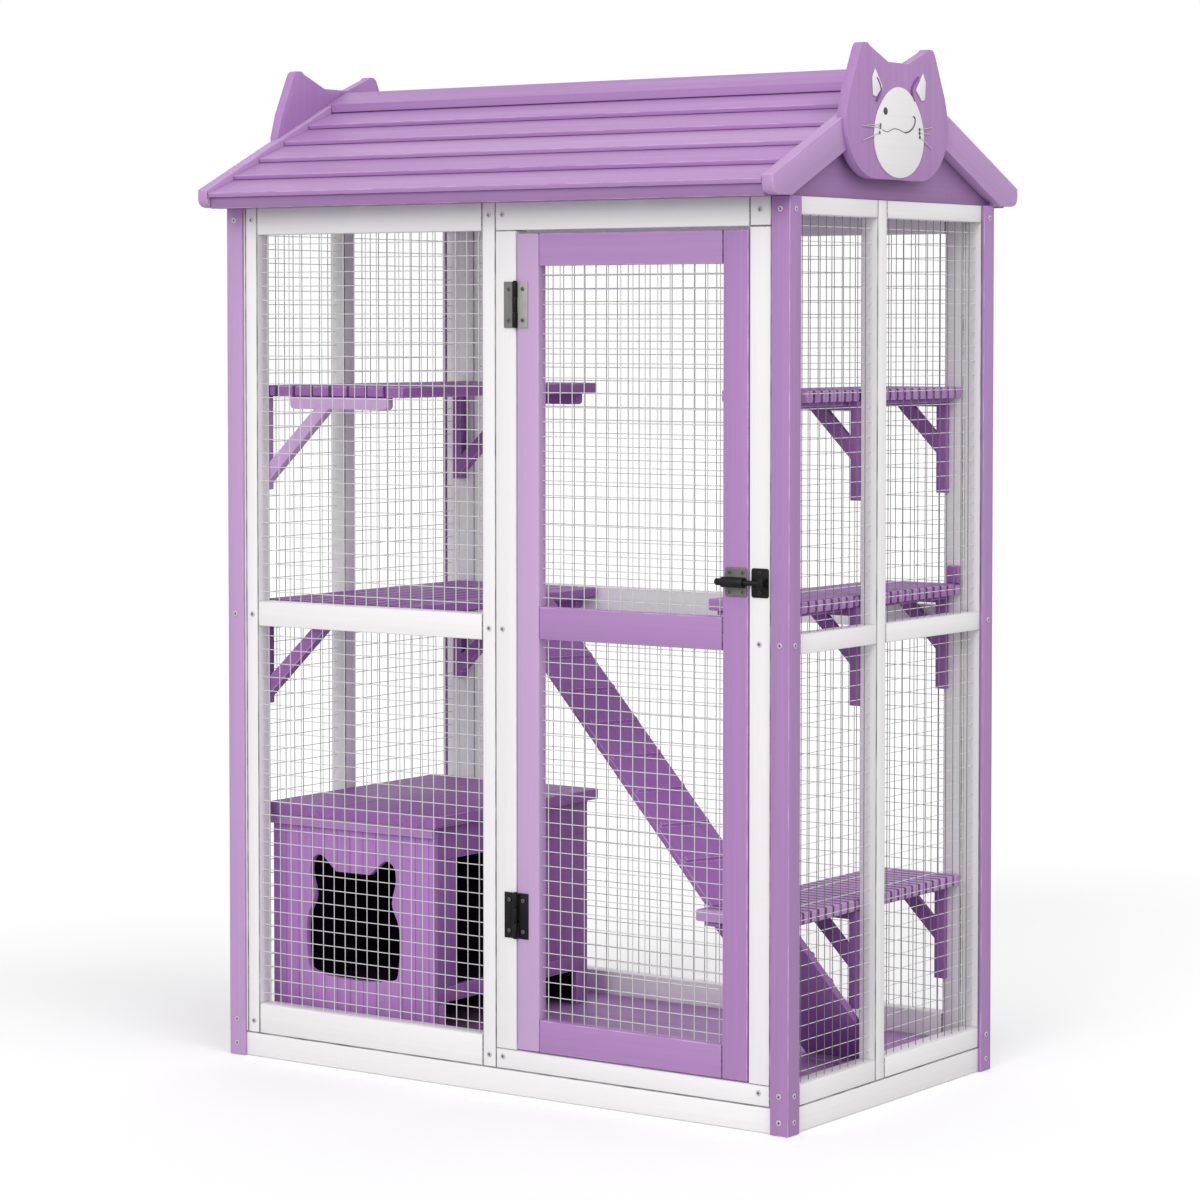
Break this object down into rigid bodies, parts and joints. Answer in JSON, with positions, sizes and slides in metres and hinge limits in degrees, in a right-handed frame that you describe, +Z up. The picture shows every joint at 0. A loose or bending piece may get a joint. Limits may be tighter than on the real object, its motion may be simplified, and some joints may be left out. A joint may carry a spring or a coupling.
{
  "type": "outdoor cat enclosure",
  "caption": "Tall timber outdoor cat enclosure with wire mesh windows, a pitched lapped roof, a bolted hinged door, shelves, ramps and a small cat house inside.",
  "frame": {"origin": "on the ground under the middle of the enclosure", "axes": "front with the door faces -Y, +X runs right along the front, +Z is up"},
  "size_m": [1.264, 0.822, 1.8224],
  "materials": {
    "white_paint": "satin",
    "purple_paint": "satin",
    "galvanised_mesh": "satin",
    "black_hardware": "satin",
    "grey_hardware": "satin"
  },
  "bodies": {
    "frame": {"post_front_left": "purple_paint", "post_front_right": "purple_paint", "post_back_left": "purple_paint", "post_back_right": "purple_paint", "front_left_panel": "white_paint", "door_surround": "white_paint", "left_side_panel": "white_paint", "right_side_panel": "white_paint", "back_panel": "white_paint", "skirt_boards": "white_paint", "floor_bearers": "purple_paint", "floor_boards": "purple_paint", "front_mesh": "galvanised_mesh", "left_mesh": "galvanised_mesh", "right_mesh": "galvanised_mesh", "back_mesh": "galvanised_mesh", "hinge_frame_leaves": "black_hardware", "hinge_pins": "black_hardware", "bolt_keeper": "black_hardware", "front_roof_boards": "purple_paint", "back_roof_boards": "purple_paint", "eave_strips": "purple_paint", "ridge_cap": "purple_paint", "ridge_beam": "purple_paint", "rafters": "purple_paint", "left_barge_boards": "purple_paint", "right_barge_boards": "purple_paint", "left_gable_panel": "purple_paint", "right_gable_panel": "purple_paint", "left_cat_head": "purple_paint", "right_cat_head": "purple_paint", "cat_face_whites": "white_paint", "cat_face_marks": "black_hardware", "upper_left_shelf": "purple_paint", "middle_left_shelf": "purple_paint", "upper_right_shelf": "purple_paint", "middle_right_shelf": "purple_paint", "low_platform": "purple_paint", "shelf_battens": "purple_paint", "left_brackets": "purple_paint", "right_brackets": "purple_paint", "shelf_cleat": "purple_paint", "upper_ramp": "purple_paint", "lower_ramp": "purple_paint", "house_front": "purple_paint", "house_left_wall": "purple_paint", "house_right_wall": "purple_paint", "house_back": "purple_paint", "house_floor": "purple_paint", "house_roof": "purple_paint", "house_roof_trim": "purple_paint", "wall_screws": "grey_hardware", "hinge_screws": "grey_hardware", "keeper_screws": "grey_hardware"},
    "door": {"door_stiles_and_rails": "purple_paint", "door_mesh": "galvanised_mesh", "hinge_door_leaves": "black_hardware", "bolt_plate_and_barrel": "grey_hardware", "door_hardware_screws": "grey_hardware"},
    "bolt": {"bolt_rod": "black_hardware"}
  },
  "joints": [
    {"name": "door_swing", "type": "hinge", "parent": "frame", "child": "door", "pos_m": [0.0465, -0.3417, 0.85], "axis": [0, 0, -1], "range_deg": [0, 165]},
    {"name": "bolt_slide", "type": "slide", "parent": "door", "child": "bolt", "axis": [1, 0, 0], "range_m": [-0.026, 0.01]}
  ]
}
